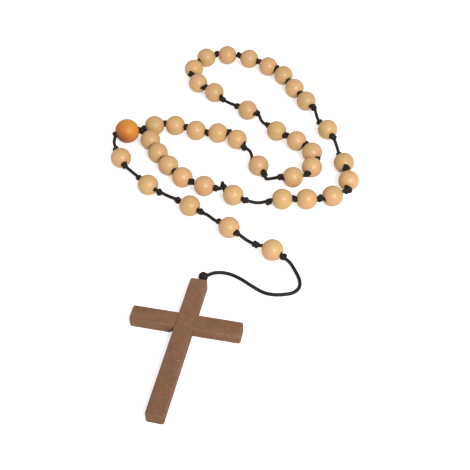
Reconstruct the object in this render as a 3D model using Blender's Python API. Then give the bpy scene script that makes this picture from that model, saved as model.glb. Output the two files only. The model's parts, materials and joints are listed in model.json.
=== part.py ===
"""A rosary of turned wooden beads on a knotted black cord, with a wooden cross, lying flat on a table.

The loop runs beads 1 to 34 away from the junction knot and back to it. The tail runs from the junction
through the larger centre bead and five more beads, and a bare pendant cord carries the cross.
Metres, +Z up. The table is z = 0, +Y points away from the cross, and the origin is under the middle
of the whole rosary. Every bead's local Z axis is its bore.
"""

import math

import bmesh
import bpy
from mathutils import Matrix, Vector

MM = 0.001
GAP = 0.35 * MM

BEAD_DIAMETER = 14.6 * MM
CENTRE_BEAD_DIAMETER = 17.8 * MM
FLAT_AT = 0.93
BORE_DIAMETER = 3.4 * MM
CENTRE_BORE_DIAMETER = 5.2 * MM
BEAD_STEPS = 12
BEAD_ARC_SPANS = 6

CORD_DIAMETER = 2.4 * MM
DOUBLED_CORD_DIAMETER = 4.2 * MM
KNOT_DIAMETER = 5.2 * MM
JUNCTION_KNOT_DIAMETER = 6.0 * MM
CROSS_KNOT_DIAMETER = 6.4 * MM
CROSS_KNOT_LENGTH = 6.8 * MM
STUB_LENGTH = 3.0 * MM

# the last bead before, and the first bead after, the part of the loop that each fold lifts
FAR_FOLD = (11, 24)
TIP_FOLD = (12, 23)
JOINING_LINK_AFTER = 29

# where the loop's beads lie, from the junction knot round to it again: x and y in millimetres
JUNCTION_KNOT = (-66.3, 77.3, 7.6)
LOOP_PLACES = (
    (-57.2, 82.4),
    (-41.7, 82.3),
    (-26.2, 76.5),
    (-10.0, 73.4),
    (4.0, 66.0),
    (19.0, 37.8),
    (43.0, 25.4),
    (57.0, 35.4),
    (58.0, 51.0),
    (47.5, 63.7),
    (33.3, 74.9),
    (12.3, 99.0),
    (-13.0, 120.4),
    (-25.6, 132.0),
    (-29.2, 149.8),
    (-19.6, 164.2),
    (-2.8, 167.2),
    (14.6, 162.2),
    (29.4, 152.0),
    (41.0, 140.6),
    (48.8, 124.4),
    (57.0, 109.0),
    (71.0, 76.0),
    (80.2, 39.8),
    (82.0, 21.3),
    (69.6, 6.2),
    (51.6, 3.4),
    (34.6, 3.6),
    (0.8, 8.1),
    (-19.5, 17.5),
    (-35.0, 26.5),
    (-45.4, 39.0),
    (-53.4, 52.2),
    (-59.5, 66.3),
)
# where the bare cord between two beads passes, by the number of the bead before it: x, y and z
LOOP_LINKS = {
    5: (13.2, 54.1, 6.2),
    6: (26.6, 27.0, 4.6),
    11: (22.6, 87.2, 6.0),
    12: (-0.3, 108.8, 6.2),
    22: (64.2, 92.2, 6.2),
    23: (77.0, 58.5, 6.2),
    28: (17.5, 2.8, 4.6),
    29: (-8.5, 17.6, 6.4),
}
# the centre bead and the tail's beads, and where the bare cord before each tail bead passes
TAIL_PLACES = ((-77.0, 74.8), (-79.8, 47.4), (-58.9, 19.2), (-29.1, -1.9), (-2.2, -22.8), (26.3, -43.8))
TAIL_LINKS = (
    (-87.0, 65.3, 6.2),
    (-71.0, 33.7, 6.2),
    (-44.7, 8.9, 6.2),
    (-15.0, -12.6, 6.2),
    (9.5, -33.2, 6.2),
)
# the bare pendant cord, after the knot under the last tail bead: down to the table and up to the cross
PENDANT_ROUTE = (
    (37.3, -52.2, 4.5),
    (41.0, -58.2, 2.2),
    (43.3, -65.0, 1.25),
    (42.7, -71.4, 1.25),
    (38.8, -75.5, 1.25),
    (33.0, -76.9, 1.25),
    (26.0, -77.0, 1.25),
    (19.5, -75.0, 1.25),
    (12.5, -69.8, 1.25),
    (5.5, -63.8, 1.25),
    (-1.5, -59.4, 1.25),
    (-7.5, -57.8, 1.25),
    (-12.5, -59.0, 2.2),
    (-15.8, -61.8, 3.4),
)

POST_LENGTH = 106.3 * MM
POST_THICKNESS = 8.1 * MM
BAR_LENGTH = 70.9 * MM
BAR_THICKNESS = 7.8 * MM
CROSS_WIDTH = 11.3 * MM
TOP_ARM = 29.0 * MM
BAR_OFFSET = 0.45 * MM
EDGE_ROUNDING = 1.0 * MM
LAP_GAP = 0.3 * MM
CORD_HOLE_DIAMETER = 3.4 * MM
CORD_HOLE_DEPTH = 9.0 * MM
CORD_HOLE_OFFSET = 2.2 * MM
CROSS_KNOT_PLACE = Vector((-18.6, -65.5, 4.2)) * MM
CROSS_TURN = math.radians(-13.4)
BAR_TURN = math.radians(1.0)

WOOD = ("pale_wood", (0.76, 0.50, 0.24), 0.42)
ORANGE_WOOD = ("orange_wood", (0.72, 0.25, 0.03), 0.38)
BROWN_WOOD = ("brown_wood", (0.27, 0.13, 0.07), 0.60)
BLACK_CORD = ("black_cord", (0.012, 0.010, 0.010), 0.70)

ROUTE_STEPS = 16


def clear_scene():
    for item in list(bpy.data.objects):
        bpy.data.objects.remove(item)


def material(look):
    name, colour, roughness = look
    made = bpy.data.materials.get(name)
    if made is None:
        made = bpy.data.materials.new(name)
        made.use_nodes = True
        shader = made.node_tree.nodes["Principled BSDF"]
        shader.inputs["Base Color"].default_value = (*colour, 1.0)
        shader.inputs["Roughness"].default_value = roughness
        shader.inputs["Metallic"].default_value = 0.0
    return made


def add_object(name, data, look):
    made = bpy.data.objects.new(name, data)
    made.data.materials.append(material(look))
    bpy.context.scene.collection.objects.link(made)
    return made


class Route:
    """A smooth curve through hand-placed points, measured along its length."""

    def __init__(self, points):
        ends = [2 * points[0] - points[1], *points, 2 * points[-1] - points[-2]]
        self.points = [points[0]]
        for before, start, end, after in zip(ends, ends[1:], ends[2:], ends[3:]):
            for step in range(1, ROUTE_STEPS + 1):
                self.points.append(between(before, start, end, after, step / ROUTE_STEPS))
        self.lengths = [0.0]
        for a, b in zip(self.points, self.points[1:]):
            self.lengths.append(self.lengths[-1] + (b - a).length)

    def at(self, along):
        for n, reached in enumerate(self.lengths[1:]):
            if reached >= along:
                share = (along - self.lengths[n]) / (reached - self.lengths[n])
                return self.points[n].lerp(self.points[n + 1], share)
        return self.points[-1].copy()


def between(before, start, end, after, share):
    """A point between start and end on the centripetal Catmull-Rom curve through four points."""
    t0 = 0.0
    t1 = t0 + math.sqrt((start - before).length)
    t2 = t1 + math.sqrt((end - start).length)
    t3 = t2 + math.sqrt((after - end).length)
    t = t1 + (t2 - t1) * share
    a1 = before.lerp(start, (t - t0) / (t1 - t0))
    a2 = start.lerp(end, (t - t1) / (t2 - t1))
    a3 = end.lerp(after, (t - t2) / (t3 - t2))
    b1 = a1.lerp(a2, (t - t0) / (t2 - t0))
    b2 = a2.lerp(a3, (t - t1) / (t3 - t1))
    return b1.lerp(b2, (t - t1) / (t2 - t1))


class Bead:
    """Where a bead is: its middle, its bore's direction, and the middles of its two flats."""

    def __init__(self, name, place, before, after, diameter):
        self.name = name
        self.middle = Vector((place[0] * MM, place[1] * MM, diameter / 2))
        self.heading = Vector(((after[0] - before[0]) * MM, (after[1] - before[1]) * MM, 0.0)).normalized()
        self.entry = self.middle - self.heading * (diameter / 2 * FLAT_AT)
        self.exit = self.middle + self.heading * (diameter / 2 * FLAT_AT)


class Cord:
    """A cord's centre line with its radius at each point, swelling where it is knotted."""

    def __init__(self):
        self.rings = []

    def run(self, *points, diameter=CORD_DIAMETER):
        self.rings += [(point, diameter / 2) for point in points]

    def short_knot(self, bead, following):
        """The knot that fills the space between two neighbouring beads."""
        space = (following.entry - bead.exit).length
        leaving = bead.exit + bead.heading * (space / 2)
        arriving = following.entry - following.heading * (space / 2)
        middle = leaving.lerp(arriving, 0.5)
        along = (bead.heading + following.heading).normalized() * space
        self.run(bead.exit, middle - along * 0.2, diameter=CORD_DIAMETER * 0.6)
        self.run(middle - along * 0.1, middle + along * 0.1, diameter=KNOT_DIAMETER)
        self.run(middle + along * 0.2, diameter=CORD_DIAMETER * 0.6)

    def round_knot(self, middle, heading, diameter=KNOT_DIAMETER, cord=CORD_DIAMETER):
        """A round knot about middle, whose outline stays inside a ball of its diameter."""
        reach = diameter / 2
        for along, wide in ((-0.90, None), (-0.50, 0.86), (0.0, 1.0), (0.50, 0.86), (0.90, None)):
            self.run(middle + heading * (reach * along), diameter=diameter * wide if wide else cord * 0.8)

    def make(self, name):
        curve = bpy.data.curves.new(name, "CURVE")
        curve.dimensions = "3D"
        curve.bevel_depth = CORD_DIAMETER / 2
        curve.bevel_resolution = 2
        curve.render_resolution_u = 0
        curve.use_fill_caps = True
        spline = curve.splines.new("POLY")
        spline.points.add(len(self.rings) - 1)
        for point, (place, radius) in zip(spline.points, self.rings):
            point.co = (*place, 1.0)
            point.radius = radius / (CORD_DIAMETER / 2)
        return add_object(name, curve, BLACK_CORD)


def bead_mesh(name, diameter, bore):
    """A ball with a flat round each end of its bore, turned about Z."""
    radius = diameter / 2
    flat_angle = math.asin(FLAT_AT)
    profile = [(bore / 2, -radius * FLAT_AT)]
    for n in range(BEAD_ARC_SPANS + 1):
        angle = flat_angle * (2 * n / BEAD_ARC_SPANS - 1)
        profile.append((radius * math.cos(angle), radius * math.sin(angle)))
    profile.append((bore / 2, radius * FLAT_AT))
    shape = bmesh.new()
    corners = [shape.verts.new((x, 0.0, z)) for x, z in profile]
    edges = [shape.edges.new((a, b)) for a, b in zip(corners, corners[1:] + corners[:1])]
    bmesh.ops.spin(
        shape,
        geom=corners + edges,
        cent=(0.0, 0.0, 0.0),
        axis=(0.0, 0.0, 1.0),
        angle=math.tau,
        steps=BEAD_STEPS,
        use_merge=True,
    )
    bmesh.ops.remove_doubles(shape, verts=shape.verts, dist=0.001 * MM)
    bmesh.ops.recalc_face_normals(shape, faces=shape.faces)
    mesh = bpy.data.meshes.new(name)
    shape.to_mesh(mesh)
    shape.free()
    mesh.shade_smooth()
    mesh.set_sharp_from_angle(angle=math.radians(50))
    return mesh


def place_bead(bead, mesh, look):
    up = (Vector((0.0, 0.0, 1.0)) - bead.heading * bead.heading.z).normalized()
    side = bead.heading.cross(up)
    turn = Matrix((up, side, bead.heading)).transposed()
    made = add_object(bead.name, mesh, look)
    made.location = bead.middle
    made.rotation_euler = turn.to_euler()
    return made


def loop_beads():
    """The loop's beads, each with its bore along the cord that passes through it."""
    beads = []
    for number, place in enumerate(LOOP_PLACES, 1):
        before = LOOP_LINKS.get(number - 1, (JUNCTION_KNOT, *LOOP_PLACES)[number - 1])
        after = LOOP_LINKS.get(number, (*LOOP_PLACES, JUNCTION_KNOT)[number])
        beads.append(Bead(f"loop_bead_{number:02d}", place, before, after, BEAD_DIAMETER))
    return beads


def tail_beads():
    """The centre bead and the tail's beads."""
    befores = (JUNCTION_KNOT, *TAIL_LINKS)
    afters = (TAIL_PLACES[0], *TAIL_LINKS[1:], PENDANT_ROUTE[0])
    names = ("centre_bead", *[f"tail_bead_{number}" for number in range(1, len(TAIL_PLACES))])
    beads = []
    for name, place, before, after in zip(names, TAIL_PLACES, befores, afters):
        diameter = BEAD_DIAMETER if beads else CENTRE_BEAD_DIAMETER
        beads.append(Bead(name, place, before, after, diameter))
    return beads


def pivot_after(bead, diameter=KNOT_DIAMETER):
    """The middle of the knot just past a bead's exit."""
    return bead.exit + bead.heading * (diameter / 2 + GAP)


def pivot_before(bead, diameter=KNOT_DIAMETER):
    """The middle of the knot just before a bead's entry."""
    return bead.entry - bead.heading * (diameter / 2 + GAP)


def off_knot(pivot, toward, diameter=KNOT_DIAMETER):
    """Where a cord that turns about a knot starts, clear of it."""
    return pivot + (toward - pivot).normalized() * (diameter / 2 + GAP)


def hanging(start, via, end):
    """Two points of the bare cord that leaves one knot, passes a given place and reaches another."""
    pulled = 2 * Vector(via) * MM - (start + end) / 2
    points = []
    for share in (0.32, 0.68):
        points.append(start.lerp(pulled, share).lerp(pulled.lerp(end, share), share))
    return points


def string_beads(cord, beads, first):
    """Carries a cord from the first bead's entry to the last one's exit, with its knots."""
    cord.run(beads[0].entry)
    for number, (bead, following) in enumerate(zip(beads, beads[1:]), first):
        if number not in LOOP_LINKS:
            cord.short_knot(bead, following)
        else:
            cord.run(bead.exit)
            cord.round_knot(pivot_after(bead), bead.heading)
            cord.run(*hanging(pivot_after(bead), LOOP_LINKS[number], pivot_before(following)))
            cord.round_knot(pivot_before(following), following.heading)
        cord.run(following.entry)
    cord.run(beads[-1].exit)


def hang_from(cord, bead, link, following):
    """Starts a cord at the knot after a bead, where it turns, and ends the link in the next knot."""
    points = hanging(pivot_after(bead), link, pivot_before(following))
    cord.run(off_knot(pivot_after(bead), points[0]), *points)
    cord.round_knot(pivot_before(following), following.heading)


def reach_to(cord, bead, link, following):
    """Ends a cord with a knot after a bead and a link that turns at the next bead's knot."""
    points = hanging(pivot_after(bead), link, pivot_before(following))
    cord.round_knot(pivot_after(bead), bead.heading)
    cord.run(*points, off_knot(pivot_before(following), points[-1]))


def make_loop_cords(beads):
    """The loop's cord in five lengths, parted at the knots where the loop folds."""
    far_before, far_after = FAR_FOLD
    tip_before, tip_after = TIP_FOLD
    junction = Vector(JUNCTION_KNOT) * MM
    bead = dict(enumerate(beads, 1))

    cord = Cord()
    cord.run(off_knot(junction, bead[1].entry, JUNCTION_KNOT_DIAMETER))
    string_beads(cord, beads[:far_before], 1)
    cord.round_knot(pivot_after(bead[far_before]), bead[far_before].heading)
    cord.make("loop_cord_outgoing")

    cord = Cord()
    hang_from(cord, bead[far_before], LOOP_LINKS[far_before], bead[tip_before])
    string_beads(cord, [bead[tip_before]], tip_before)
    cord.round_knot(pivot_after(bead[tip_before]), bead[tip_before].heading)
    cord.make("loop_cord_far_left")

    cord = Cord()
    hang_from(cord, bead[tip_before], LOOP_LINKS[tip_before], bead[tip_before + 1])
    string_beads(cord, beads[tip_before : tip_after - 1], tip_before + 1)
    reach_to(cord, bead[tip_after - 1], LOOP_LINKS[tip_after - 1], bead[tip_after])
    cord.make("loop_cord_tip")

    cord = Cord()
    cord.round_knot(pivot_before(bead[tip_after]), bead[tip_after].heading)
    string_beads(cord, [bead[tip_after]], tip_after)
    reach_to(cord, bead[tip_after], LOOP_LINKS[tip_after], bead[far_after])
    cord.make("loop_cord_far_right")

    cord = Cord()
    cord.round_knot(pivot_before(bead[far_after]), bead[far_after].heading)
    string_beads(cord, beads[far_after - 1 :], far_after)
    cord.run(off_knot(junction, beads[-1].exit, JUNCTION_KNOT_DIAMETER))
    cord.make("loop_cord_returning")

    cord = Cord()
    upright = Vector((-0.10, 0.35, 0.93)).normalized()
    start = pivot_after(bead[JOINING_LINK_AFTER]) + upright * (KNOT_DIAMETER / 2 + GAP)
    cord.run(start, start + upright * (STUB_LENGTH / 2), start + upright * STUB_LENGTH)
    cord.make("cord_cut_end")


def make_centre_cord(centre):
    """Both ends of the loop, knotted together and passing doubled through the centre bead."""
    junction = Vector(JUNCTION_KNOT) * MM
    cord = Cord()
    inward = (centre.entry - junction).normalized()
    cord.round_knot(junction, inward, JUNCTION_KNOT_DIAMETER, DOUBLED_CORD_DIAMETER)
    cord.run(centre.entry, centre.exit, diameter=DOUBLED_CORD_DIAMETER)
    cord.make("centre_cord")


def make_tail_cords(beads):
    """One length of cord for each tail bead, with a knot each side of it."""
    knot = Cord()
    knot.round_knot(pivot_after(beads[0]), beads[0].heading)
    knot.make("centre_lower_knot")
    for number, (above, link, bead) in enumerate(zip(beads, TAIL_LINKS, beads[1:]), 1):
        cord = Cord()
        hang_from(cord, above, link, bead)
        cord.run(bead.entry, bead.exit)
        cord.round_knot(pivot_after(bead), bead.heading)
        cord.make(f"tail_cord_{number}")


def make_pendant_cord(last_bead):
    start = pivot_after(last_bead)
    laid = [Vector(point) * MM for point in PENDANT_ROUTE]
    route = Route([start, *laid, CROSS_KNOT_PLACE])
    first = KNOT_DIAMETER / 2 + GAP
    last = route.lengths[-1] - CROSS_KNOT_LENGTH / 2 - GAP
    steps = round((last - first) / (2.2 * CORD_DIAMETER))
    cord = Cord()
    cord.run(*[route.at(first + (last - first) * n / steps) for n in range(steps + 1)])
    cord.make("pendant_cord")


def make_cross_knot(axis):
    """The long knot at the cross, and the cord's end glued in the post."""
    reach = CROSS_KNOT_LENGTH / 2
    knot = Cord()
    for along, wide in ((-0.95, 0.5), (-0.55, 0.92), (0.0, 1.0), (0.55, 0.92), (0.95, 0.5)):
        knot.run(CROSS_KNOT_PLACE + axis * (reach * along), diameter=CROSS_KNOT_DIAMETER * wide)
    knot.make("cross_knot")
    end = Cord()
    start = CROSS_KNOT_PLACE - axis * (reach + GAP)
    end.run(start, start - axis * (CORD_HOLE_DEPTH - 1.0 * MM))
    end.make("cross_cord_end")


def block(name, size, middle, turn=0.0):
    """A plain box mesh with its middle where given, turned about the vertical."""
    placed = Matrix.Translation(middle) @ Matrix.Rotation(turn, 4, "Z") @ Matrix.Diagonal((*size, 1.0))
    shape = bmesh.new()
    bmesh.ops.create_cube(shape, size=1.0, matrix=placed)
    mesh = bpy.data.meshes.new(name)
    shape.to_mesh(mesh)
    shape.free()
    return mesh


def cutter(name, mesh, parent):
    made = bpy.data.objects.new(name, mesh)
    made.hide_render = True
    made.display_type = "WIRE"
    made.parent = parent
    bpy.context.scene.collection.objects.link(made)
    return made


def cut(target, tool):
    made = target.modifiers.new(tool.name, "BOOLEAN")
    made.operation = "DIFFERENCE"
    made.solver = "EXACT"
    made.object = tool


def round_edges(target):
    made = target.modifiers.new("rounding", "BEVEL")
    made.width = EDGE_ROUNDING
    made.segments = 2
    made.limit_method = "ANGLE"


def make_cross():
    """Two square sticks in a half-lap joint. The cross's origin is the middle of its knot."""
    pivot = bpy.data.objects.new("cross_pivot", None)
    pivot.location = CROSS_KNOT_PLACE
    pivot.rotation_euler = (0.0, 0.0, CROSS_TURN)
    bpy.context.scene.collection.objects.link(pivot)

    top = -(CROSS_KNOT_LENGTH / 2 + GAP)
    centre_x = -CORD_HOLE_OFFSET
    table = -CROSS_KNOT_PLACE.z
    lap = POST_THICKNESS / 2
    bar_y = top - TOP_ARM - CROSS_WIDTH / 2

    post_middle = Vector((centre_x, top - POST_LENGTH / 2, table + POST_THICKNESS / 2))
    post_mesh = block("cross_post", (CROSS_WIDTH, POST_LENGTH, POST_THICKNESS), post_middle)
    post = add_object("cross_post", post_mesh, BROWN_WOOD)
    post.parent = pivot
    round_edges(post)

    bar_middle = Vector((centre_x + BAR_OFFSET, bar_y, table + BAR_THICKNESS / 2))
    bar_mesh = block("cross_bar", (BAR_LENGTH, CROSS_WIDTH, BAR_THICKNESS), bar_middle, BAR_TURN)
    bar = add_object("cross_bar", bar_mesh, BROWN_WOOD)
    bar.parent = pivot
    round_edges(bar)

    notch = (2 * CROSS_WIDTH, CROSS_WIDTH + 2 * LAP_GAP, 2 * lap)
    post_cut = block("post_lap", notch, Vector((centre_x, bar_y, table)), BAR_TURN)
    cut(post, cutter("post_lap", post_cut, pivot))

    notch = (CROSS_WIDTH + 2 * LAP_GAP, 2 * CROSS_WIDTH, BAR_THICKNESS)
    bar_cut = block("bar_lap", notch, Vector((centre_x, bar_y, table + lap - LAP_GAP + BAR_THICKNESS / 2)))
    cut(bar, cutter("bar_lap", bar_cut, pivot))

    drill = bmesh.new()
    bmesh.ops.create_cone(
        drill,
        cap_ends=True,
        segments=12,
        radius1=CORD_HOLE_DIAMETER / 2,
        radius2=CORD_HOLE_DIAMETER / 2,
        depth=2 * CORD_HOLE_DEPTH,
        matrix=Matrix.Translation((0.0, top, 0.0)) @ Matrix.Rotation(math.pi / 2, 4, "X"),
    )
    drill_mesh = bpy.data.meshes.new("cord_hole")
    drill.to_mesh(drill_mesh)
    drill.free()
    cut(post, cutter("cord_hole", drill_mesh, pivot))


def main():
    clear_scene()
    loop = loop_beads()
    tail = tail_beads()
    small = bead_mesh("bead", BEAD_DIAMETER, BORE_DIAMETER)
    large = bead_mesh("centre_bead", CENTRE_BEAD_DIAMETER, CENTRE_BORE_DIAMETER)
    place_bead(tail[0], large, ORANGE_WOOD)
    for bead in loop + tail[1:]:
        place_bead(bead, small, WOOD)
    make_centre_cord(tail[0])
    make_loop_cords(loop)
    make_tail_cords(tail)
    make_pendant_cord(tail[-1])
    make_cross_knot(Vector((-math.sin(CROSS_TURN), math.cos(CROSS_TURN), 0.0)))
    make_cross()


main()
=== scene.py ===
"""The looks of a rosary: turned wooden beads on a knotted black cord, and a wooden cross.

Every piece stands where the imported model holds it. Metres, +Z up, and the table is z = 0.
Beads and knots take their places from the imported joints, and the cross from its packed sticks.
"""

import json
import math
import random

import bmesh
import bpy
import numpy as np
from mathutils import Matrix, Vector, noise

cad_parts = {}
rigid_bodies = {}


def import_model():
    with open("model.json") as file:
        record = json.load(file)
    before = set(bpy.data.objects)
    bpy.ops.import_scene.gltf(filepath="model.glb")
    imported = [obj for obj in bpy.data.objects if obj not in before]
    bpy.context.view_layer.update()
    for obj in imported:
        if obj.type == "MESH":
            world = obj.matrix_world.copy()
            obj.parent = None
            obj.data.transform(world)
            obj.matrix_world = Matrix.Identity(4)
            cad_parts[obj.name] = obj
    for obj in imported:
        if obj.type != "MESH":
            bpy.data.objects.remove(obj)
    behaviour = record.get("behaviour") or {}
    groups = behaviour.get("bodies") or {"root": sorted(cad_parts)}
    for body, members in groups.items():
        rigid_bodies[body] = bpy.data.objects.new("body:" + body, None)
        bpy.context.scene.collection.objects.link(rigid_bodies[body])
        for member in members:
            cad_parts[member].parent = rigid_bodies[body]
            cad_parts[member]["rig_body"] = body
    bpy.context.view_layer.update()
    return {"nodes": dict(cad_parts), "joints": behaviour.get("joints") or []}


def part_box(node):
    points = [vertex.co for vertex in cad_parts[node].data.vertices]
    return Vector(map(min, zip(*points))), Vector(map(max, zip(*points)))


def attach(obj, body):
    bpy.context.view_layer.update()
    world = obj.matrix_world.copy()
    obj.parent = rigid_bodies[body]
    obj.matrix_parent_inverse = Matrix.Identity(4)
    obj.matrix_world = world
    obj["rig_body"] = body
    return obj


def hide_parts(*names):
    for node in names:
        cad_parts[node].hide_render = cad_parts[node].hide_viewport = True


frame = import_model()

MM = 0.001
UP = Vector((0.0, 0.0, 1.0))
JOINTS = {joint["name"]: joint for joint in frame["joints"]}

# camera, lamp and table
CAMERA_PLACE = (0.00167, -0.49996, 0.51039)
CAMERA_TILT = math.radians(46.942)
CAMERA_ROLL = math.radians(-0.6185)
CAMERA_LENS = 78.8
CAMERA_SENSOR = 36.0
LAMP_PLACE = Vector((0.43, -0.87, 0.92))
LAMP_SIZE = 0.50
LAMP_POWER = 14.0
SKY_STRENGTH = 0.60
TABLE_REACH = 3.0
TABLE_GLOW = 0.5

# wood colours: the main one, and those of its warm and cool patches
PALE_WOOD = ((0.612, 0.370, 0.160), (0.672, 0.355, 0.178), (0.566, 0.380, 0.146))
ORANGE_WOOD = ((0.560, 0.195, 0.034), (0.530, 0.178, 0.031), (0.590, 0.215, 0.038))
# the orange bead's darker side, a real stain deepened with painted shade towards its rim, in its
# own axes: up, across its bore, and along its bore
ORANGE_STAIN_AND_SHADE_TOWARDS = (-0.42, -0.30, 0.86)
ORANGE_STAIN_AND_SHADE_REACH = 8.0 * MM
# its shades, from painted light on the lighter side to the stain with painted shade on the darker
# side
ORANGE_STAIN_LIGHT_AND_SHADE = ((1.12, 1.40, 1.10), (1.12, 1.26, 1.06), (0.92, 0.82, 0.76), (0.42, 0.36, 0.50))
# how far the post's stain deepens, from the knot to its foot, and its shades from the foot up
POST_STAIN_REACH = 108.0 * MM
POST_SHADES = ((0.0, (0.84, 0.81, 0.77)), (0.55, (0.97, 0.97, 0.96)), (1.0, (1.14, 1.17, 1.16)))

# beads
FLAT_AT = 0.93
BORE_DIAMETER = 3.4 * MM
CENTRE_BORE_DIAMETER = 5.2 * MM
BORE_LIP = 0.35 * MM
FLAT_EDGE = 0.5 * MM
BEAD_STEPS = 48
BEAD_ARC_SPANS = 22

# cord
CORD_DIAMETER = 2.4 * MM
DOUBLED_CORD_DIAMETER = 4.2 * MM
KNOT_REACH = 2.95 * MM
KNOT_CORD = 2.35 * MM
KNOT_SCALE = 0.66 * MM
KNOT_DEPTH = 1.10 * MM
KNOT_LENGTH = 4.7 * MM
CORD_SIDES = 16
CORD_STEP = 0.30 * MM
BRAID_STRANDS = 4
BRAID_PITCH = 2.8 * MM
BRAID_RELIEF = 0.045
# the steps of a knot's curve, how far it is opened at its ends, and its sideways offset
KNOT_STEPS = 22
KNOT_OPENING = 0.62
KNOT_OFFSET = 0.35
NEIGHBOUR_KNOT_SCALE = 1.08
BORE_TUCK = 0.8 * MM

LAST_LOOP_BEAD = 34
JUNCTION_KNOT = Vector((-66.3, 77.3, 7.6)) * MM
# the cut end that stands up from a knot at the loop's joining link
JOINING_LINK_AFTER = 29
STUB_TOWARDS = Vector((-0.26, 0.25, 0.93))
STUB_LENGTH = 1.0 * MM
STUB_DIAMETER = 1.15 * CORD_DIAMETER

# where the bare cord between two loop beads passes, by the number of the bead before it
LOOP_LINKS = {
    5: ((0.0132, 0.0541, 0.0062),),
    6: ((0.0241, 0.0272, 0.0045), (0.0290, 0.0271, 0.0048)),
    11: ((0.0227, 0.0872, 0.0062),),
    12: ((-0.0006, 0.1079, 0.0066),),
    22: ((0.0640, 0.0922, 0.0066),),
    23: ((0.0765, 0.0583, 0.0064),),
    28: ((0.0175, 0.0026, 0.0050),),
    29: ((-0.0086, 0.0160, 0.0060),),
}
# where the bare cord before each tail bead passes
TAIL_LINKS = (
    ((-0.0862, 0.0655, 0.0064),),
    ((-0.0710, 0.0336, 0.0062),),
    ((-0.0446, 0.0091, 0.0062),),
    ((-0.0176, -0.0099, 0.0068), (-0.0115, -0.0150, 0.0060)),
    ((0.0088, -0.0330, 0.0062),),
)
# how far a knot lies from the place just past its bead's bore, where it isn't drawn up straight
KNOT_SHIFTS = {
    ("loop_bead_05", "after"): (-0.0024, -0.0022, 0.0),
    ("loop_bead_06", "before"): (0.0006, -0.0012, -0.0016),
    ("loop_bead_06", "after"): (-0.0003, 0.0005, 0.0),
    ("loop_bead_07", "before"): (0.0007, 0.0034, 0.0),
    ("loop_bead_11", "after"): (0.0004, -0.0006, 0.0),
    ("loop_bead_12", "before"): (-0.0002, 0.0038, 0.0),
    ("loop_bead_12", "after"): (-0.0003, -0.0019, 0.0),
    ("loop_bead_13", "before"): (-0.0006, -0.0019, 0.0),
    ("loop_bead_22", "after"): (0.0010, 0.0015, 0.0),
    ("loop_bead_23", "before"): (-0.0024, -0.0006, 0.0),
    ("loop_bead_23", "after"): (0.0003, 0.0005, 0.0),
    ("loop_bead_24", "before"): (-0.0015, -0.0008, 0.0),
    ("loop_bead_28", "after"): (0.0003, -0.0012, -0.0006),
    ("loop_bead_29", "before"): (0.0, 0.0001, 0.0),
    ("loop_bead_29", "after"): (0.0018, 0.0043, -0.0008),
    ("loop_bead_30", "before"): (-0.0014, 0.0013, -0.0008),
    ("centre_bead", "after"): (0.0026, -0.0002, -0.0012),
    ("tail_bead_1", "before"): (0.0008, 0.0002, 0.0),
    ("tail_bead_1", "after"): (-0.0011, 0.0002, 0.0),
    ("tail_bead_2", "before"): (0.0009, 0.0, 0.0),
    ("tail_bead_2", "after"): (0.0012, -0.0002, 0.0),
    ("tail_bead_3", "before"): (-0.0005, 0.0003, 0.0),
    ("tail_bead_3", "after"): (-0.0005, -0.0007, 0.0),
    ("tail_bead_4", "before"): (0.0008, -0.0008, 0.0),
    ("tail_bead_4", "after"): (-0.0022, 0.0006, 0.0006),
    ("tail_bead_5", "before"): (-0.0031, -0.0002, -0.0006),
    ("tail_bead_5", "after"): (-0.0010, -0.0001, -0.0010),
}
# how far the knot between two neighbouring beads leans out of line, by the first bead's number
KNOT_LEANS = {
    1: (0.0, 0.0010, 0.0003),
    3: (0.0, -0.0010, 0.0),
    4: (0.0003, 0.0022, 0.0006),
    7: (0.0022, 0.0001, 0.0),
    8: (0.0015, 0.0018, 0.0),
    9: (0.0, 0.0005, 0.0),
    10: (-0.0003, 0.0008, 0.0),
    13: (0.0005, 0.0015, 0.0),
    14: (-0.0018, 0.0014, 0.0004),
    15: (0.0006, 0.0004, -0.0004),
    16: (0.0005, 0.0012, 0.0004),
    17: (0.0003, 0.0001, 0.0),
    18: (-0.0005, -0.0003, 0.0),
    19: (-0.0003, 0.0030, 0.0006),
    20: (-0.0013, -0.0008, 0.0),
    21: (-0.0006, 0.0028, 0.0004),
    24: (-0.0017, 0.0016, 0.0012),
    25: (0.0032, -0.0005, 0.0005),
    26: (-0.0003, 0.0002, 0.0),
    27: (-0.0005, 0.0, 0.0),
    30: (-0.0009, 0.0003, 0.0),
    31: (0.0003, 0.0, 0.0),
    32: (0.0006, 0.0007, 0.0),
    33: (-0.0010, -0.0006, 0.0),
}
# how much larger or smaller a knot is than most, by the number of the bead before it
KNOT_SIZES = {8: 0.85, 9: 1.08, 15: 0.8, 19: 1.12, 20: 0.9, 24: 1.2, 25: 0.98, 32: 0.85, 33: 0.85}
# which way a knot lies where it isn't in line with its beads
KNOT_HEADINGS = {25: (0.72, 0.69, 0.0)}
# the whipping that joins the loop's two ends, from end to end along its middle
JUNCTION_BAND = (Vector((-67.2, 74.3, 7.9)) * MM, Vector((-63.8, 80.4, 7.8)) * MM)
BAND_CORE = 2.6 * MM
BAND_RADIUS = 1.65 * MM
BAND_STRAND = 1.9 * MM
BAND_TURNS = 3.5
# the bare pendant cord: down to the table and up to the cross
PENDANT_ROUTE = (
    (0.0373, -0.0522, 0.0045),
    (0.0410, -0.0582, 0.0022),
    (0.0433, -0.0650, 0.00125),
    (0.0427, -0.0714, 0.00125),
    (0.0388, -0.0755, 0.00125),
    (0.0330, -0.0769, 0.00125),
    (0.0260, -0.0770, 0.00125),
    (0.0195, -0.0750, 0.00125),
    (0.0125, -0.0698, 0.00125),
    (0.0055, -0.0638, 0.00125),
    (-0.0015, -0.0594, 0.00125),
    (-0.0075, -0.0578, 0.00125),
    (-0.0122, -0.0589, 0.0022),
    (-0.0156, -0.0616, 0.0036),
)

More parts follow.
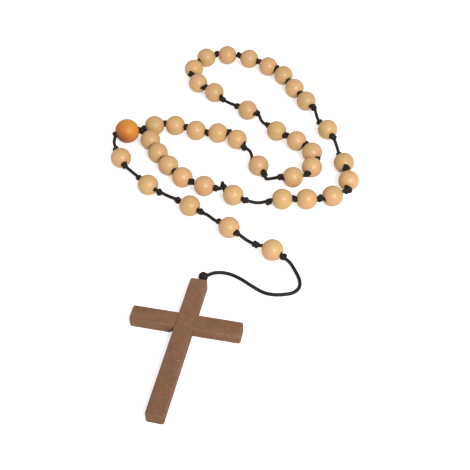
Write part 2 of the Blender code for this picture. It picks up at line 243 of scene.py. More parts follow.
# cross, and the round knot at its top
BAR_TURN = math.radians(1.0)
LAP_GAP = 0.06 * MM
END_ROUNDING = 1.5 * MM
EDGE_ROUNDING = 0.55 * MM
SAW_STEP = 1.5 * MM
UNEVENNESS = 0.09 * MM
UNEVENNESS_SCALE = 140.0
# one shift of the noise for each axis
UNEVENNESS_SHIFTS = (
    Vector((0.0, 0.0, 0.0)),
    Vector((31.4, 7.9, -12.6)),
    Vector((-17.3, 22.1, 5.8)),
)
SHARP_ANGLE = math.radians(40)
CORD_HOLE_DIAMETER = 3.4 * MM
CORD_HOLE_DEPTH = 9.0 * MM
CROSS_KNOT_LENGTH = 6.8 * MM
CROSS_KNOT_SHIFT = (-0.0005, 0.00175, 0.0001)
CROSS_KNOT_BALL = 1.95 * MM
CROSS_KNOT_STRAND = 2.8 * MM
CROSS_KNOT_LEAD = 1.1 * CORD_DIAMETER
CORD_END_OVERLAP = 0.3 * MM
CORD_END_ROOM = 1.0 * MM
CHIP_SIZE = (3.8 * MM, 3.4 * MM, 1.2 * MM)


# ---------------------------------------------------------------- camera, lights and floor


def make_camera():
    """Stands in front of the rosary, a little above it, and looks down at the table."""
    forward = Vector((0.0, math.cos(CAMERA_TILT), -math.sin(CAMERA_TILT)))
    level_up = Vector((0.0, math.sin(CAMERA_TILT), math.cos(CAMERA_TILT)))
    level_right = Vector((1.0, 0.0, 0.0))
    right = level_right * math.cos(CAMERA_ROLL) + level_up * math.sin(CAMERA_ROLL)
    up = level_up * math.cos(CAMERA_ROLL) - level_right * math.sin(CAMERA_ROLL)
    data = bpy.data.cameras.new("camera")
    data.lens = CAMERA_LENS
    data.sensor_width = CAMERA_SENSOR
    data.clip_start = 0.01
    data.clip_end = 20.0
    camera = bpy.data.objects.new("camera", data)
    bpy.context.scene.collection.objects.link(camera)
    turn = Matrix((right, up, -forward)).transposed().to_4x4()
    camera.matrix_world = Matrix.Translation(CAMERA_PLACE) @ turn
    bpy.context.scene.camera = camera


def make_sky():
    world = bpy.data.worlds.new("studio")
    world.use_nodes = True
    background = world.node_tree.nodes["Background"]
    background.inputs["Color"].default_value = (1.0, 1.0, 1.0, 1.0)
    background.inputs["Strength"].default_value = SKY_STRENGTH
    bpy.context.scene.world = world
    bpy.context.scene.view_settings.view_transform = "Standard"


def make_lamp():
    """A soft round lamp beside the camera, aimed at the middle of the rosary."""
    data = bpy.data.lights.new("key", "AREA")
    data.shape = "DISK"
    data.size = LAMP_SIZE
    data.energy = LAMP_POWER
    light = bpy.data.objects.new("key", data)
    bpy.context.scene.collection.objects.link(light)
    light.location = LAMP_PLACE
    light.rotation_mode = "QUATERNION"
    light.rotation_quaternion = (-LAMP_PLACE).to_track_quat("-Z", "Y")


def make_table():
    """A white table with a little glow that only the camera sees, so that it looks evenly white."""
    data = bpy.data.meshes.new("table")
    corners = [
        (-TABLE_REACH, -TABLE_REACH, 0.0),
        (TABLE_REACH, -TABLE_REACH, 0.0),
        (TABLE_REACH, TABLE_REACH, 0.0),
        (-TABLE_REACH, TABLE_REACH, 0.0),
    ]
    data.from_pydata(corners, [], [(0, 1, 2, 3)])
    table = bpy.data.objects.new("table", data)
    bpy.context.scene.collection.objects.link(table)
    look = bpy.data.materials.new("table_white")
    look.use_nodes = True
    shader = look.node_tree.nodes["Principled BSDF"]
    shader.inputs["Base Color"].default_value = (0.90, 0.90, 0.90, 1.0)
    shader.inputs["Roughness"].default_value = 0.9
    shader.inputs["Specular IOR Level"].default_value = 0.1
    shader.inputs["Emission Color"].default_value = (1.0, 1.0, 1.0, 1.0)
    seen = look.node_tree.nodes.new("ShaderNodeLightPath")
    glow = look.node_tree.nodes.new("ShaderNodeMath")
    glow.operation = "MULTIPLY"
    glow.inputs[1].default_value = TABLE_GLOW
    look.node_tree.links.new(seen.outputs["Is Camera Ray"], glow.inputs[0])
    look.node_tree.links.new(glow.outputs[0], shader.inputs["Emission Strength"])
    data.materials.append(look)


# ---------------------------------------------------------------- materials


class Look:
    """A node material under construction, with one method for each kind of node that it takes."""

    def __init__(self, name, roughness, specular):
        self.material = bpy.data.materials.new(name)
        self.material.use_nodes = True
        self.nodes = self.material.node_tree.nodes
        self.links = self.material.node_tree.links
        self.shader = self.nodes["Principled BSDF"]
        self.shader.inputs["Roughness"].default_value = roughness
        self.shader.inputs["Specular IOR Level"].default_value = specular

    def join(self, source, target):
        self.links.new(source, target)

    def node(self, kind, **settings):
        made = self.nodes.new(kind)
        for name, value in settings.items():
            setattr(made, name, value)
        return made

    def place(self, spread=(1.0, 1.0, 1.0), shift=0.0):
        """Object coordinates, stretched, and shifted by a random amount for each object."""
        coordinates = self.node("ShaderNodeTexCoord").outputs["Object"]
        own = self.node("ShaderNodeObjectInfo").outputs["Random"]
        moved = self.node("ShaderNodeVectorMath", operation="MULTIPLY_ADD")
        self.join(own, moved.inputs[0])
        moved.inputs[1].default_value = (0.9, 1.7, 2.3)
        self.join(coordinates, moved.inputs[2])
        stretched = self.node("ShaderNodeMapping")
        self.join(moved.outputs[0], stretched.inputs["Vector"])
        stretched.inputs["Scale"].default_value = spread
        stretched.inputs["Location"].default_value = (shift, shift, shift)
        return stretched.outputs[0]

    def noise(self, where, scale, detail=2.0, roughness=0.5):
        made = self.node("ShaderNodeTexNoise")
        made.inputs["Scale"].default_value = scale
        made.inputs["Detail"].default_value = detail
        made.inputs["Roughness"].default_value = roughness
        self.join(where, made.inputs["Vector"])
        return made.outputs["Fac"]

    def ramp(self, amount, *stops):
        """Maps an amount onto colours: each stop is a place from 0 to 1 and a colour."""
        made = self.node("ShaderNodeValToRGB")
        elements = made.color_ramp.elements
        while len(elements) < len(stops):
            elements.new(0.5)
        for element, (at, colour) in zip(elements, stops):
            element.position = at
            element.color = (*colour, 1.0)
        self.join(amount, made.inputs["Fac"])
        return made.outputs["Color"]

    def span(self, amount, low, high, to_low=0.0, to_high=1.0):
        made = self.node("ShaderNodeMapRange", clamp=True)
        made.inputs["From Min"].default_value = low
        made.inputs["From Max"].default_value = high
        made.inputs["To Min"].default_value = to_low
        made.inputs["To Max"].default_value = to_high
        self.join(amount, made.inputs["Value"])
        return made.outputs["Result"]

    def mix(self, share, a, b, blend="MIX"):
        made = self.node("ShaderNodeMix", data_type="RGBA", blend_type=blend)
        sockets = (made.inputs["Factor"], made.inputs[6], made.inputs[7])
        for socket, value in zip(sockets, (share, a, b)):
            if isinstance(value, (float, int)):
                socket.default_value = value
            elif isinstance(value, tuple):
                socket.default_value = (*value, 1.0)
            else:
                self.join(value, socket)
        return made.outputs[2]

    def add(self, a, b, by=1.0):
        made = self.node("ShaderNodeMath", operation="MULTIPLY_ADD")
        self.join(b, made.inputs[0])
        made.inputs[1].default_value = by
        self.join(a, made.inputs[2])
        return made.outputs[0]

    def along(self, direction, low, high):
        """How far a point lies along a direction of the piece itself, as 0 at low and 1 at high."""
        coordinates = self.node("ShaderNodeTexCoord").outputs["Object"]
        made = self.node("ShaderNodeVectorMath", operation="DOT_PRODUCT")
        self.join(coordinates, made.inputs[0])
        made.inputs[1].default_value = direction
        return self.span(made.outputs["Value"], low, high)

    def bump(self, height, distance, strength=1.0):
        made = self.node("ShaderNodeBump")
        made.inputs["Strength"].default_value = strength
        made.inputs["Distance"].default_value = distance
        self.join(height, made.inputs["Height"])
        self.join(made.outputs["Normal"], self.shader.inputs["Normal"])

    def finish(self, colour, roughness=None):
        self.join(colour, self.shader.inputs["Base Color"])
        if roughness is not None:
            self.join(roughness, self.shader.inputs["Roughness"])
        return self.material


def turned_wood(name, colours, rough=0.38, gloss=0.46, stain_and_shade=None):
    """Turned and varnished wood: soft patches, faint grain along the bore, and small pores.

    A stain with painted shade darkens the bead towards one side, and painted light brightens the
    other: its direction in the bead's own axes, its reach, and its shades.
    """
    main, warm, cool = colours
    look = Look(name, rough, gloss)
    patches = look.noise(look.place(shift=1.0), 95.0, 2.0, 0.55)
    colour = look.ramp(patches, (0.34, warm), (0.50, main), (0.66, cool))
    # the stain, with painted shade on one side and painted light on the other
    if stain_and_shade is not None:
        direction, reach, shades = stain_and_shade
        stops = [(n / (len(shades) - 1), shade) for n, shade in enumerate(shades)]
        shade = look.ramp(look.along(direction, -reach, reach), *stops)
        colour = look.mix(1.0, colour, shade, "MULTIPLY")
    grain = look.noise(look.place((1.0, 1.0, 0.10), 2.0), 1500.0, 3.0, 0.6)
    dark = tuple(0.80 * part for part in main)
    colour = look.mix(look.span(grain, 0.48, 0.72, 0.0, 0.42), colour, dark)
    own = look.node("ShaderNodeObjectInfo").outputs["Random"]
    tint = look.ramp(
        own,
        (0.0, (0.94, 0.93, 0.92)),
        (0.5, (1.0, 1.0, 1.0)),
        (1.0, (1.05, 1.02, 0.98)),
    )
    colour = look.mix(1.0, colour, tint, "MULTIPLY")
    pores = look.noise(look.place((1.0, 1.0, 0.25), 3.0), 2600.0, 1.0)
    darker = tuple(0.60 * part for part in main)
    colour = look.mix(look.span(pores, 0.68, 0.78, 0.0, 0.22), colour, darker)
    rings = look.node("ShaderNodeTexWave", wave_type="BANDS", bands_direction="Z")
    rings.inputs["Scale"].default_value = 480.0
    rings.inputs["Distortion"].default_value = 0.6
    look.join(look.place(), rings.inputs["Vector"])
    height = look.add(grain, rings.outputs["Fac"], 0.25)
    look.bump(height, 0.02 * MM, 0.35)
    roughness = look.span(patches, 0.3, 0.7, rough - 0.05, rough + 0.06)
    return look.finish(colour, roughness)


def sawn_wood(name, grain_along_x, stain_reach=None):
    """Brown-stained sawn wood: grain along the stick, mottled stain, and small pale flecks.

    Over a stain's reach from the cord, the stain deepens towards the stick's foot.
    """
    look = Look(name, 0.66, 0.22)
    along = (0.10, 1.0, 1.0) if grain_along_x else (1.0, 0.10, 1.0)
    broad = look.noise(look.place(along, 4.0), 230.0, 4.0, 0.62)
    colour = look.ramp(
        broad,
        (0.28, (0.182, 0.084, 0.046)),
        (0.50, (0.200, 0.095, 0.053)),
        (0.74, (0.220, 0.110, 0.064)),
    )
    if stain_reach is not None:
        shade = look.ramp(look.along((0.0, 1.0, 0.0), -stain_reach, 0.0), *POST_SHADES)
        colour = look.mix(1.0, colour, shade, "MULTIPLY")
    hue = look.noise(look.place(shift=10.0), 210.0, 3.0, 0.65)
    tint = look.ramp(
        hue,
        (0.36, (1.08, 0.96, 0.93)),
        (0.50, (1.0, 1.01, 1.0)),
        (0.64, (0.93, 1.08, 1.03)),
    )
    colour = look.mix(1.0, colour, tint, "MULTIPLY")
    mottle = look.noise(look.place(shift=6.0), 420.0, 4.0, 0.72)
    colour = look.mix(look.span(mottle, 0.48, 0.72, 0.0, 0.55), colour, (0.262, 0.146, 0.092))
    stains = look.noise(look.place(shift=8.0), 150.0, 3.0, 0.6)
    colour = look.mix(look.span(stains, 0.50, 0.70, 0.0, 0.42), colour, (0.142, 0.064, 0.036))
    fine = look.noise(look.place(along, 5.0), 1700.0, 3.0, 0.7)
    colour = look.mix(look.span(fine, 0.50, 0.76, 0.0, 0.30), colour, (0.125, 0.060, 0.038))
    look.bump(look.add(fine, broad, 0.6), 0.06 * MM, 0.45)
    return look.finish(colour, look.span(broad, 0.3, 0.7, 0.60, 0.72))


def chip_shade_wood(name):
    """Painted shade for the bottom of a chip in the stained wood: nearly black and rough, darker
    than the recess alone looks.
    """
    look = Look(name, 0.85, 0.1)
    fibres = look.noise(look.place(shift=9.0), 1500.0, 3.0, 0.7)
    colour = look.ramp(fibres, (0.35, (0.016, 0.007, 0.004)), (0.65, (0.050, 0.024, 0.014)))
    look.bump(fibres, 0.1 * MM, 0.6)
    return look.finish(colour)


def waxed_cord():
    """Black waxed cord: nearly black, with a dull shine where strands stand up."""
    look = Look("black_cord_waxed", 0.55, 0.22)
    fibres = look.noise(look.place(shift=7.0), 2400.0, 3.0, 0.7)
    colour = look.ramp(fibres, (0.35, (0.008, 0.006, 0.006)), (0.65, (0.020, 0.014, 0.012)))
    look.bump(fibres, 0.03 * MM, 0.5)
    return look.finish(colour, look.span(fibres, 0.3, 0.7, 0.48, 0.66))


# ---------------------------------------------------------------- shared mesh code


def mesh_from(shape, name):
    """Turns a bmesh under construction into a mesh, and frees it."""
    mesh = bpy.data.meshes.new(name)
    shape.to_mesh(mesh)
    shape.free()
    return mesh


def add_piece(name, mesh, look):
    mesh.materials.append(look)
    mesh.shade_smooth()
    piece = bpy.data.objects.new(name, mesh)
    bpy.context.scene.collection.objects.link(piece)
    return piece


def stand_for(piece, node):
    """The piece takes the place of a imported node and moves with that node's body."""
    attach(piece, frame["nodes"][node]["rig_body"])
    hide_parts(node)


# ---------------------------------------------------------------- beads


class Bead:
    """A packed bead's middle, the direction of its bore, and the middles of its two flats."""

    def __init__(self, node):
        turn = JOINTS[f"turn_{node}"]
        low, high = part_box(node)
        self.node = node
        self.radius = (high.z - low.z) / 2
        self.middle = Vector(turn["pos_m"])
        self.heading = Vector(turn["axis"]).normalized()
        self.entry = self.middle - self.heading * (self.radius * FLAT_AT)
        self.exit = self.middle + self.heading * (self.radius * FLAT_AT)
        self.knot_before = self.entry - self.heading * KNOT_REACH + self.knot_shift("before")
        self.knot_after = self.exit + self.heading * KNOT_REACH + self.knot_shift("after")

    def knot_shift(self, side):
        return Vector(KNOT_SHIFTS.get((self.node, side), (0.0, 0.0, 0.0)))


def arc(middle, radius, start, end, spans):
    """Points of an arc in the (distance from the bore's line, height) plane."""
    points = []
    for n in range(spans + 1):
        angle = start + (end - start) * n / spans
        points.append((middle[0] + radius * math.cos(angle), middle[1] + radius * math.sin(angle)))
    return points


def bead_profile(radius, bore):
    """Half a bead's outline: the bore's rounded lip, the flat, its softened edge, and the ball."""
    flat = radius * FLAT_AT
    edge_angle = math.asin(FLAT_AT)
    shoulder = edge_angle - FLAT_EDGE / radius
    lip = arc((bore / 2 + BORE_LIP, -flat + BORE_LIP), BORE_LIP, math.pi, 1.5 * math.pi, 4)
    rim = radius * math.cos(edge_angle) - FLAT_EDGE * 0.6
    start = (rim, -flat)
    corner = (radius * math.cos(edge_angle), -flat)
    end = (radius * math.cos(shoulder), -radius * math.sin(shoulder))
    soft = []
    for n in range(4):
        t = n / 4
        a, b, c = (1 - t) ** 2, 2 * t * (1 - t), t * t
        soft.append(
            (a * start[0] + b * corner[0] + c * end[0], a * start[1] + b * corner[1] + c * end[1])
        )
    lower = lip + soft
    ball = arc((0.0, 0.0), radius, -shoulder, shoulder, BEAD_ARC_SPANS)
    upper = [(x, -z) for x, z in reversed(lower)]
    return lower + ball + upper


def bead_mesh(name, radius, bore):
    shape = bmesh.new()
    corners = [shape.verts.new((x, 0.0, z)) for x, z in bead_profile(radius, bore)]
    edges = [shape.edges.new(pair) for pair in zip(corners, corners[1:] + corners[:1])]
    bmesh.ops.spin(
        shape,
        geom=corners + edges,
        cent=(0.0, 0.0, 0.0),
        axis=(0.0, 0.0, 1.0),
        angle=math.tau,
        steps=BEAD_STEPS,
        use_merge=True,
    )
    bmesh.ops.remove_doubles(shape, verts=shape.verts, dist=0.001 * MM)
    bmesh.ops.recalc_face_normals(shape, faces=shape.faces)
    return mesh_from(shape, name)


def make_bead(bead, bore, look):
    side = bead.heading.cross(UP).normalized()
    turn = Matrix((UP, side, bead.heading)).transposed().to_4x4()
    name = f"{bead.node}_turned"
    piece = add_piece(name, bead_mesh(name, bead.radius, bore), look)
    piece.matrix_world = Matrix.Translation(bead.middle) @ turn
    stand_for(piece, bead.node)


# ---------------------------------------------------------------- cord


def between(before, start, end, after, share):
    """A point between start and end on the centripetal Catmull-Rom curve through four points."""
    t0 = 0.0
    t1 = t0 + math.sqrt(max((start - before).length, 1e-9))
    t2 = t1 + math.sqrt(max((end - start).length, 1e-9))
    t3 = t2 + math.sqrt(max((after - end).length, 1e-9))
    t = t1 + (t2 - t1) * share
    a1 = before.lerp(start, (t - t0) / (t1 - t0))
    a2 = start.lerp(end, (t - t1) / (t2 - t1))
    a3 = end.lerp(after, (t - t2) / (t3 - t2))
    b1 = a1.lerp(a2, (t - t0) / (t2 - t0))
    b2 = a2.lerp(a3, (t - t1) / (t3 - t1))
    return b1.lerp(b2, (t - t1) / (t2 - t1))


def smooth_line(points):
    """Even steps along the smooth curve through (place, radius) points, with the radius at each."""
    places = [place for place, _ in points]
    ends = [2 * places[0] - places[1], *places, 2 * places[-1] - places[-2]]
    line = [(places[0], points[0][1])]
    for n in range(len(places) - 1):
        steps = max(2, round((places[n + 1] - places[n]).length / (0.5 * CORD_STEP)))
        for step in range(1, steps + 1):
            share = step / steps
            radius = points[n][1] + (points[n + 1][1] - points[n][1]) * share
            line.append((between(*ends[n : n + 4], share), radius))
    lengths = [0.0]
    for (a, _), (b, _) in zip(line, line[1:]):
        lengths.append(lengths[-1] + (b - a).length)
    count = max(2, round(lengths[-1] / CORD_STEP))
    wanted = np.linspace(0.0, lengths[-1], count + 1)
    columns = [np.interp(wanted, lengths, [place[axis] for place, _ in line]) for axis in range(3)]
    radii = np.interp(wanted, lengths, [radius for _, radius in line])
    return [Vector(place) for place in zip(*columns)], list(radii)


def braid(angle, along):
    """How far the braid stands up, from 0 to 1, at an angle round the cord and a place along it."""
    lean = math.tau * along / BRAID_PITCH
    left = math.cos((BRAID_STRANDS * angle + lean) / 2) ** 2
    right = math.cos((BRAID_STRANDS * angle - lean) / 2) ** 2
    return max(left, right)


def cord_mesh(name, points):
    """A braided round tube along a smooth curve, closed at both ends."""
    line, radii = smooth_line(points)
    tangents = [(line[1] - line[0]).normalized()]
    tangents += [(after - before).normalized() for before, after in zip(line, line[2:])]
    tangents.append((line[-1] - line[-2]).normalized())
    across = tangents[0].orthogonal().normalized()
    verts = []
    along = 0.0
    for n, (middle, radius, tangent) in enumerate(zip(line, radii, tangents)):
        if n:
            along += (middle - line[n - 1]).length
            across = tangents[n - 1].rotation_difference(tangent) @ across
        across = (across - tangent * across.dot(tangent)).normalized()
        other = tangent.cross(across)
        for side in range(CORD_SIDES):
            angle = math.tau * side / CORD_SIDES
            out = radius * (1.0 - BRAID_RELIEF + BRAID_RELIEF * braid(angle, along))
            verts.append(middle + (across * math.cos(angle) + other * math.sin(angle)) * out)
    faces = []
    for ring in range(len(line) - 1):
        for side in range(CORD_SIDES):
            a = ring * CORD_SIDES + side
            b = ring * CORD_SIDES + (side + 1) % CORD_SIDES
            faces.append((a, b, b + CORD_SIDES, a + CORD_SIDES))
    last = (len(line) - 1) * CORD_SIDES
    faces.append(tuple(reversed(range(CORD_SIDES))))
    faces.append(tuple(range(last, last + CORD_SIDES)))
    mesh = bpy.data.meshes.new(name)
    mesh.from_pydata(verts, [], faces)
    return mesh


class Cord:
    """A cord's (place, radius) points, in order, with its knots."""

    def __init__(self):
        self.points = []

    def run(self, *places, diameter=CORD_DIAMETER):
        self.points += [(place, diameter / 2) for place in places]

    def knot(self, middle, heading, roll, length=KNOT_LENGTH, scale=1.0, leads=(True, True)):
        """An overhand knot about middle, drawn tight to the given length along the cord."""
        side = heading.orthogonal().normalized()
        side = Matrix.Rotation(roll, 3, heading) @ side
        deep = heading.cross(side)
        lobe = 2.6 * KNOT_SCALE * scale
        squeeze = max(0.45, min(1.2, (length / 2 - KNOT_CORD / 2) / lobe))
        path = []
        if leads[0]:
            path += [(2.5, -0.7, 0.0), (1.9, -1.7, 0.3)]
        for n in range(KNOT_STEPS + 1):
            t = math.pi + KNOT_OPENING + (math.tau - 2 * KNOT_OPENING) * n / KNOT_STEPS
            x = math.sin(t) + 2 * math.sin(2 * t)
            y = math.cos(t) - 2 * math.cos(2 * t)
            path.append((x, y, -math.sin(3 * t)))
        if leads[1]:
            path += [(-1.9, -1.7, -0.3), (-2.5, -0.7, 0.0)]
        for x, y, z in path:
            place = middle - heading * (x * KNOT_SCALE * scale * squeeze)
            place = place + side * ((y + KNOT_OFFSET) * KNOT_SCALE * scale)
            place = place + deep * (z * KNOT_DEPTH * scale)
            self.points.append((place, KNOT_CORD / 2))

    def ball(self, middle, heading, radius, strand):
        """A round knot: the cord wound over a ball, three times up and down in two times round."""
        side = heading.orthogonal().normalized()
        deep = heading.cross(side)
        steps = 60
        for n in range(steps + 1):
            t = math.tau * n / steps
            rise = 0.95 * math.sin(3 * t + 0.6)
            around = side * math.cos(2 * t) + deep * math.sin(2 * t)
            place = middle + (around * math.cos(rise) + heading * math.sin(rise)) * radius
            self.points.append((place, strand / 2))

    def whip(self, start, end, radius, strand, turns):
        """Winds closely from start to end, drawn in a little at both ends."""
        heading = (end - start).normalized()
        side = heading.orthogonal().normalized()
        deep = heading.cross(side)
        steps = round(turns * 12)
        for n in range(steps + 1):
            share = n / steps
            angle = math.tau * turns * share
            out = radius * (0.72 + 0.28 * math.sin(math.pi * share))
            place = start.lerp(end, share) + (side * math.cos(angle) + deep * math.sin(angle)) * out
            self.points.append((place, strand / 2))

    def make(self, name, look):
        return add_piece(name, cord_mesh(name, self.points), look)


class Stringer:
    """Makes the rosary's cords, one piece for each packed cord node."""

    def __init__(self, look, draws):
        self.look = look
        self.draws = draws

    def knot(self, cord, middle, heading, **shape):
        cord.knot(middle, heading, self.draws.uniform(0.0, math.tau), **shape)

    def between_neighbours(self, cord, bead, following, number):
        """The knot that fills the space between two neighbouring beads."""
        space = (following.entry - bead.exit).length
        lean = Vector(KNOT_LEANS.get(number, (0.0, 0.0, 0.0)))
        middle = (bead.exit + following.entry) / 2 + lean
        heading = (bead.heading + following.heading).normalized()
        cord.run(bead.exit - bead.heading * BORE_TUCK)
        length = min(KNOT_LENGTH, space + 1.0 * MM)
        size = KNOT_SIZES.get(number, 1.0)
        if number in KNOT_HEADINGS:
            heading = Vector(KNOT_HEADINGS[number]).normalized()
            length = 1.5 * KNOT_LENGTH
        scale = NEIGHBOUR_KNOT_SCALE * size
        self.knot(cord, middle, heading, length=length * size, scale=scale, leads=(False, False))
        cord.run(following.entry + following.heading * BORE_TUCK)

    def link(self, cord, places):
        """The bare cord between two knots, passing the given places."""
        cord.run(*[Vector(place) for place in places])

    def string(self, cord, beads, first):
        """Carries a cord from the first bead's entry to the last one's exit, with its knots."""
        cord.run(beads[0].entry, beads[0].middle)
        for number, (bead, following) in enumerate(zip(beads, beads[1:]), first):
            if number in LOOP_LINKS:
                cord.run(bead.exit)
                self.knot(cord, bead.knot_after, bead.heading)
                self.link(cord, LOOP_LINKS[number])
                self.knot(cord, following.knot_before, following.heading)
                cord.run(following.entry)
            else:
                self.between_neighbours(cord, bead, following, number)
            cord.run(following.middle)
        cord.run(beads[-1].exit)

    def finish(self, cord, node):
        piece = cord.make(f"{node}_braided", self.look)
        stand_for(piece, node)
        return piece

    def make_loop(self, bead):
        cord = Cord()
        cord.run(JUNCTION_KNOT, JUNCTION_KNOT.lerp(bead[1].entry, 0.6))
        self.string(cord, [bead[n] for n in range(1, 12)], 1)
        self.knot(cord, bead[11].knot_after, bead[11].heading, leads=(True, False))
        self.finish(cord, "loop_cord_outgoing")

        cord = Cord()
        cord.run(bead[11].knot_after)
        self.link(cord, LOOP_LINKS[11])
        self.knot(cord, bead[12].knot_before, bead[12].heading)
        cord.run(bead[12].entry, bead[12].middle, bead[12].exit)
        self.knot(cord, bead[12].knot_after, bead[12].heading, leads=(True, False))
        self.finish(cord, "loop_cord_far_left")

        cord = Cord()
        cord.run(bead[12].knot_after)
        self.link(cord, LOOP_LINKS[12])
        self.knot(cord, bead[13].knot_before, bead[13].heading)
        self.string(cord, [bead[n] for n in range(13, 23)], 13)
        self.knot(cord, bead[22].knot_after, bead[22].heading)
        self.link(cord, LOOP_LINKS[22])
        cord.run(bead[23].knot_before)
        self.finish(cord, "loop_cord_tip")

        cord = Cord()
        self.knot(cord, bead[23].knot_before, bead[23].heading, leads=(False, True))
        cord.run(bead[23].entry, bead[23].middle, bead[23].exit)
        self.knot(cord, bead[23].knot_after, bead[23].heading)
        self.link(cord, LOOP_LINKS[23])
        cord.run(bead[24].knot_before)
        self.finish(cord, "loop_cord_far_right")

        cord = Cord()
        self.knot(cord, bead[24].knot_before, bead[24].heading, leads=(False, True))
        self.string(cord, [bead[n] for n in range(24, LAST_LOOP_BEAD + 1)], 24)
        cord.run(JUNCTION_KNOT.lerp(bead[LAST_LOOP_BEAD].exit, 0.6), JUNCTION_KNOT)
        self.finish(cord, "loop_cord_returning")

        cord = Cord()
        foot = bead[JOINING_LINK_AFTER].knot_after
        upright = STUB_TOWARDS.normalized()
        top = foot + upright * (KNOT_REACH + STUB_LENGTH)
        cord.run(foot, foot + upright * KNOT_REACH, top, diameter=STUB_DIAMETER)
        self.finish(cord, "cord_cut_end")

    def make_tail(self, beads):
        centre = beads[0]
        low, high = JUNCTION_BAND
        cord = Cord()
        cord.run(low, high, diameter=BAND_CORE)
        cord.whip(high, low, BAND_RADIUS, BAND_STRAND, BAND_TURNS)
        cord.run(low.lerp(centre.entry, 0.5), diameter=CORD_DIAMETER)
        cord.run(centre.entry, centre.middle, centre.exit, diameter=DOUBLED_CORD_DIAMETER)
        self.finish(cord, "centre_cord")

        cord = Cord()
        self.knot(cord, centre.knot_after, centre.heading, scale=1.1, leads=(False, False))
        self.finish(cord, "centre_lower_knot")

        for number, (above, via, bead) in enumerate(zip(beads, TAIL_LINKS, beads[1:]), 1):
            cord = Cord()
            cord.run(above.knot_after)
            self.link(cord, via)
            self.knot(cord, bead.knot_before, bead.heading)
            cord.run(bead.entry, bead.middle, bead.exit)
            self.knot(cord, bead.knot_after, bead.heading, leads=(True, False))
            self.finish(cord, f"tail_cord_{number}")

    def make_pendant(self, last_bead, knot_place):
        """The bare cord from the last bead's knot to the cross."""
        start = last_bead.knot_after
        cord = Cord()
        cord.run(start, *[Vector(place) for place in PENDANT_ROUTE], knot_place)
        piece = self.finish(cord, "pendant_cord")

    def make_cross_knot(self, middle, heading):
        """The fat knot at the cross, and the cord's end in the post's hole."""
        cord = Cord()
        ball = middle + Vector(CROSS_KNOT_SHIFT)
        cord.ball(ball, heading, CROSS_KNOT_BALL, CROSS_KNOT_STRAND)
        reach = CROSS_KNOT_LENGTH / 2
        cord.run(ball, middle - heading * reach, diameter=CROSS_KNOT_LEAD)
        self.finish(cord, "cross_knot")

        cord = Cord()
        top = middle - heading * (reach - CORD_END_OVERLAP)
        bottom = middle - heading * (reach + CORD_HOLE_DEPTH - CORD_END_ROOM)
        cord.run(top, bottom)
        self.finish(cord, "cross_cord_end")


# ---------------------------------------------------------------- cross


def local_box(node, place):
    """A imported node's lowest and highest corners in the axes of a placing matrix."""
    inward = place.inverted()
    corners = np.array([inward @ vertex.co for vertex in frame["nodes"][node].data.vertices])
    return Vector(corners.min(0)), Vector(corners.max(0))


def saw(shape, low, high, axis):
    """Rings of corners at even steps along a stick, for its uneven surface to follow."""
    count = round((high[axis] - low[axis]) / SAW_STEP)
    normal = Vector((0.0, 0.0, 0.0))
    normal[axis] = 1.0
    for n in range(1, count):
        at = Vector((0.0, 0.0, 0.0))
        at[axis] = low[axis] + (high[axis] - low[axis]) * n / count
        everything = shape.verts[:] + shape.edges[:] + shape.faces[:]
        bmesh.ops.bisect_plane(shape, geom=everything, plane_co=at, plane_no=normal, dist=1e-7)


def box_shape(low, high):
    shape = bmesh.new()
    middle = Matrix.Translation((low + high) / 2) @ Matrix.Diagonal((*(high - low), 1.0))
    bmesh.ops.create_cube(shape, size=1.0, matrix=middle)
    return shape


def rise(edge):
    """The height between an edge's two ends."""
    return abs(edge.verts[0].co.z - edge.verts[1].co.z)


def round_edges(shape, edges, offset, segments):
    bmesh.ops.bevel(
        shape, geom=edges, offset=offset, segments=segments, profile=0.5, affect="EDGES"
    )


def stick_mesh(name, low, high, axis):
    """A sawn stick with rounded corners at its ends and softened long edges."""
    shape = box_shape(low, high)
    upright = [edge for edge in shape.edges if rise(edge) > 1 * MM]
    round_edges(shape, upright, END_ROUNDING, 5)
    level = [edge for edge in shape.edges if rise(edge) < 0.1 * MM]
    round_edges(shape, level, EDGE_ROUNDING, 3)
    saw(shape, low, high, axis)
    return mesh_from(shape, name)


def cut(piece, shape):
    """Takes a shape, in world coordinates, out of a piece. Cut faces keep its material slots."""
    tool = bpy.data.objects.new("cutter", mesh_from(shape, "cutter"))
    bpy.context.scene.collection.objects.link(tool)
    step = piece.modifiers.new("cut", "BOOLEAN")
    step.operation = "DIFFERENCE"
    step.solver = "EXACT"
    step.object = tool
    bpy.context.view_layer.update()
    cut_piece = piece.evaluated_get(bpy.context.evaluated_depsgraph_get())
    result = bpy.data.meshes.new_from_object(cut_piece)
    piece.modifiers.clear()
    piece.data = result
    bpy.data.objects.remove(tool)


def cut_box(piece, low, high, place):
    """Cuts a box out of a piece. The box's corners are in the axes of a placing matrix."""
    shape = box_shape(low, high)
    shape.transform(place)
    cut(piece, shape)


def make_uneven(piece):
    """Moves a stick's surface a little, as hand sawing and sanding leave it."""
    for vertex in piece.data.vertices:
        here = piece.matrix_world @ vertex.co
        wander = [noise.noise(here * UNEVENNESS_SCALE + shift) for shift in UNEVENNESS_SHIFTS]
        moved = Vector(wander) * UNEVENNESS
        moved.z = min(moved.z, 0.0) if vertex.co.z > 0 else max(moved.z, 0.0)
        vertex.co += moved


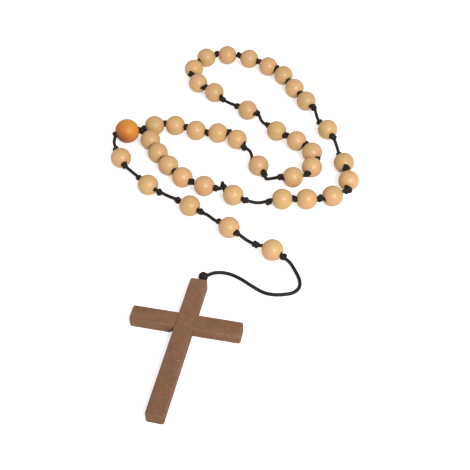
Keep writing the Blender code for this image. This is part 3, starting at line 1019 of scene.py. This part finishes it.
def chip_bar(bar, corner, place, chip_shade_look):
    """Breaks a small wedge out of the bar's lower front edge, beside the post. Its cut faces take a
    nearly black painted shade.
    """
    width, height, depth = CHIP_SIZE
    out = 1.0 * MM
    outline = ((0.2 * MM, -out), (0.2 * MM, height), (-width, 0.3 * MM), (-width, -out))
    shape = bmesh.new()
    front = [shape.verts.new((corner.x + x, corner.y - out, corner.z + z)) for x, z in outline]
    back = [shape.verts.new((corner.x + x, corner.y + depth, corner.z + z)) for x, z in outline]
    shape.faces.new(front)
    shape.faces.new(reversed(back))
    for n in range(len(outline)):
        m = (n + 1) % len(outline)
        shape.faces.new((front[m], front[n], back[n], back[m]))
    bmesh.ops.recalc_face_normals(shape, faces=shape.faces)
    shape.transform(place)
    for face in shape.faces:
        face.material_index = 1
    bar.data.materials.append(chip_shade_look)
    cut(bar, shape)


def drill_post(post, top, place):
    """Drills the cord's hole down into the top of the post."""
    drill = bmesh.new()
    bmesh.ops.create_cone(
        drill,
        cap_ends=True,
        segments=24,
        radius1=CORD_HOLE_DIAMETER / 2,
        radius2=CORD_HOLE_DIAMETER / 2,
        depth=2 * CORD_HOLE_DEPTH,
        matrix=place @ Matrix.Translation((0.0, top, 0.0)) @ Matrix.Rotation(math.pi / 2, 4, "X"),
    )
    cut(post, drill)


def make_cross(post_look, bar_look, chip_shade_look):
    """Two square sticks in a half-lap joint, with a hole for the cord in the post's top.

    Gives the direction that the post points in.
    """
    lift = JOINTS["lift_cross"]
    across = -Vector(lift["axis"]).normalized()
    along = UP.cross(across)
    place = Matrix.Translation(lift["pos_m"]) @ Matrix((across, along, UP)).transposed().to_4x4()
    bar_place = place @ Matrix.Rotation(BAR_TURN, 4, "Z")
    post_low, post_high = local_box("cross_post", place)
    bar_low, bar_high = local_box("cross_bar", bar_place)

    name = "cross_post_sawn"
    post = add_piece(name, stick_mesh(name, post_low, post_high, 1), post_look)
    post.matrix_world = place
    name = "cross_bar_sawn"
    bar = add_piece(name, stick_mesh(name, bar_low, bar_high, 0), bar_look)
    bar.matrix_world = bar_place
    lap_at = (post_low.z + post_high.z) / 2
    beyond = 10 * MM
    cut_box(
        post,
        Vector((post_low.x - beyond, bar_low.y - LAP_GAP, post_low.z - beyond)),
        Vector((post_high.x + beyond, bar_high.y + LAP_GAP, lap_at)),
        bar_place,
    )
    cut_box(
        bar,
        Vector((post_low.x - LAP_GAP, bar_low.y - beyond, lap_at - LAP_GAP)),
        Vector((post_high.x + LAP_GAP, bar_high.y + beyond, bar_high.z + beyond)),
        place,
    )
    chip_bar(bar, Vector((post_low.x, bar_low.y, bar_low.z)), place, chip_shade_look)
    drill_post(post, post_high.y, place)
    for piece, node in ((post, "cross_post"), (bar, "cross_bar")):
        make_uneven(piece)
        piece.data.shade_smooth()
        piece.data.set_sharp_from_angle(angle=SHARP_ANGLE)
        stand_for(piece, node)
    return along


# ---------------------------------------------------------------- the whole rosary


def main():
    draws = random.Random(7)
    make_camera()
    make_sky()
    make_lamp()
    make_table()
    loop = {n: Bead(f"loop_bead_{n:02d}") for n in range(1, LAST_LOOP_BEAD + 1)}
    tail = [Bead("centre_bead"), *[Bead(f"tail_bead_{n}") for n in range(1, 6)]]

    stringer = Stringer(waxed_cord(), draws)
    cross_knot = Vector(JOINTS["lift_cross"]["pos_m"])
    stringer.make_pendant(tail[-1], cross_knot)
    stringer.make_loop(loop)
    stringer.make_tail(tail)

    pale = turned_wood("pale_wood_turned", PALE_WOOD)
    orange = turned_wood(
        "orange_wood_turned",
        ORANGE_WOOD,
        rough=0.42,
        gloss=0.34,
        stain_and_shade=(ORANGE_STAIN_AND_SHADE_TOWARDS, ORANGE_STAIN_AND_SHADE_REACH, ORANGE_STAIN_LIGHT_AND_SHADE),
    )
    for bead in (*loop.values(), *tail[1:]):
        make_bead(bead, BORE_DIAMETER, pale)
    make_bead(tail[0], CENTRE_BORE_DIAMETER, orange)

    along = make_cross(
        sawn_wood("brown_wood_post", False, POST_STAIN_REACH),
        sawn_wood("brown_wood_bar", True),
        # nearly black painted shade for the faces of the bar's chip
        chip_shade_wood("brown_wood_chip_shade"),
    )
    stringer.make_cross_knot(cross_knot, along)


main()
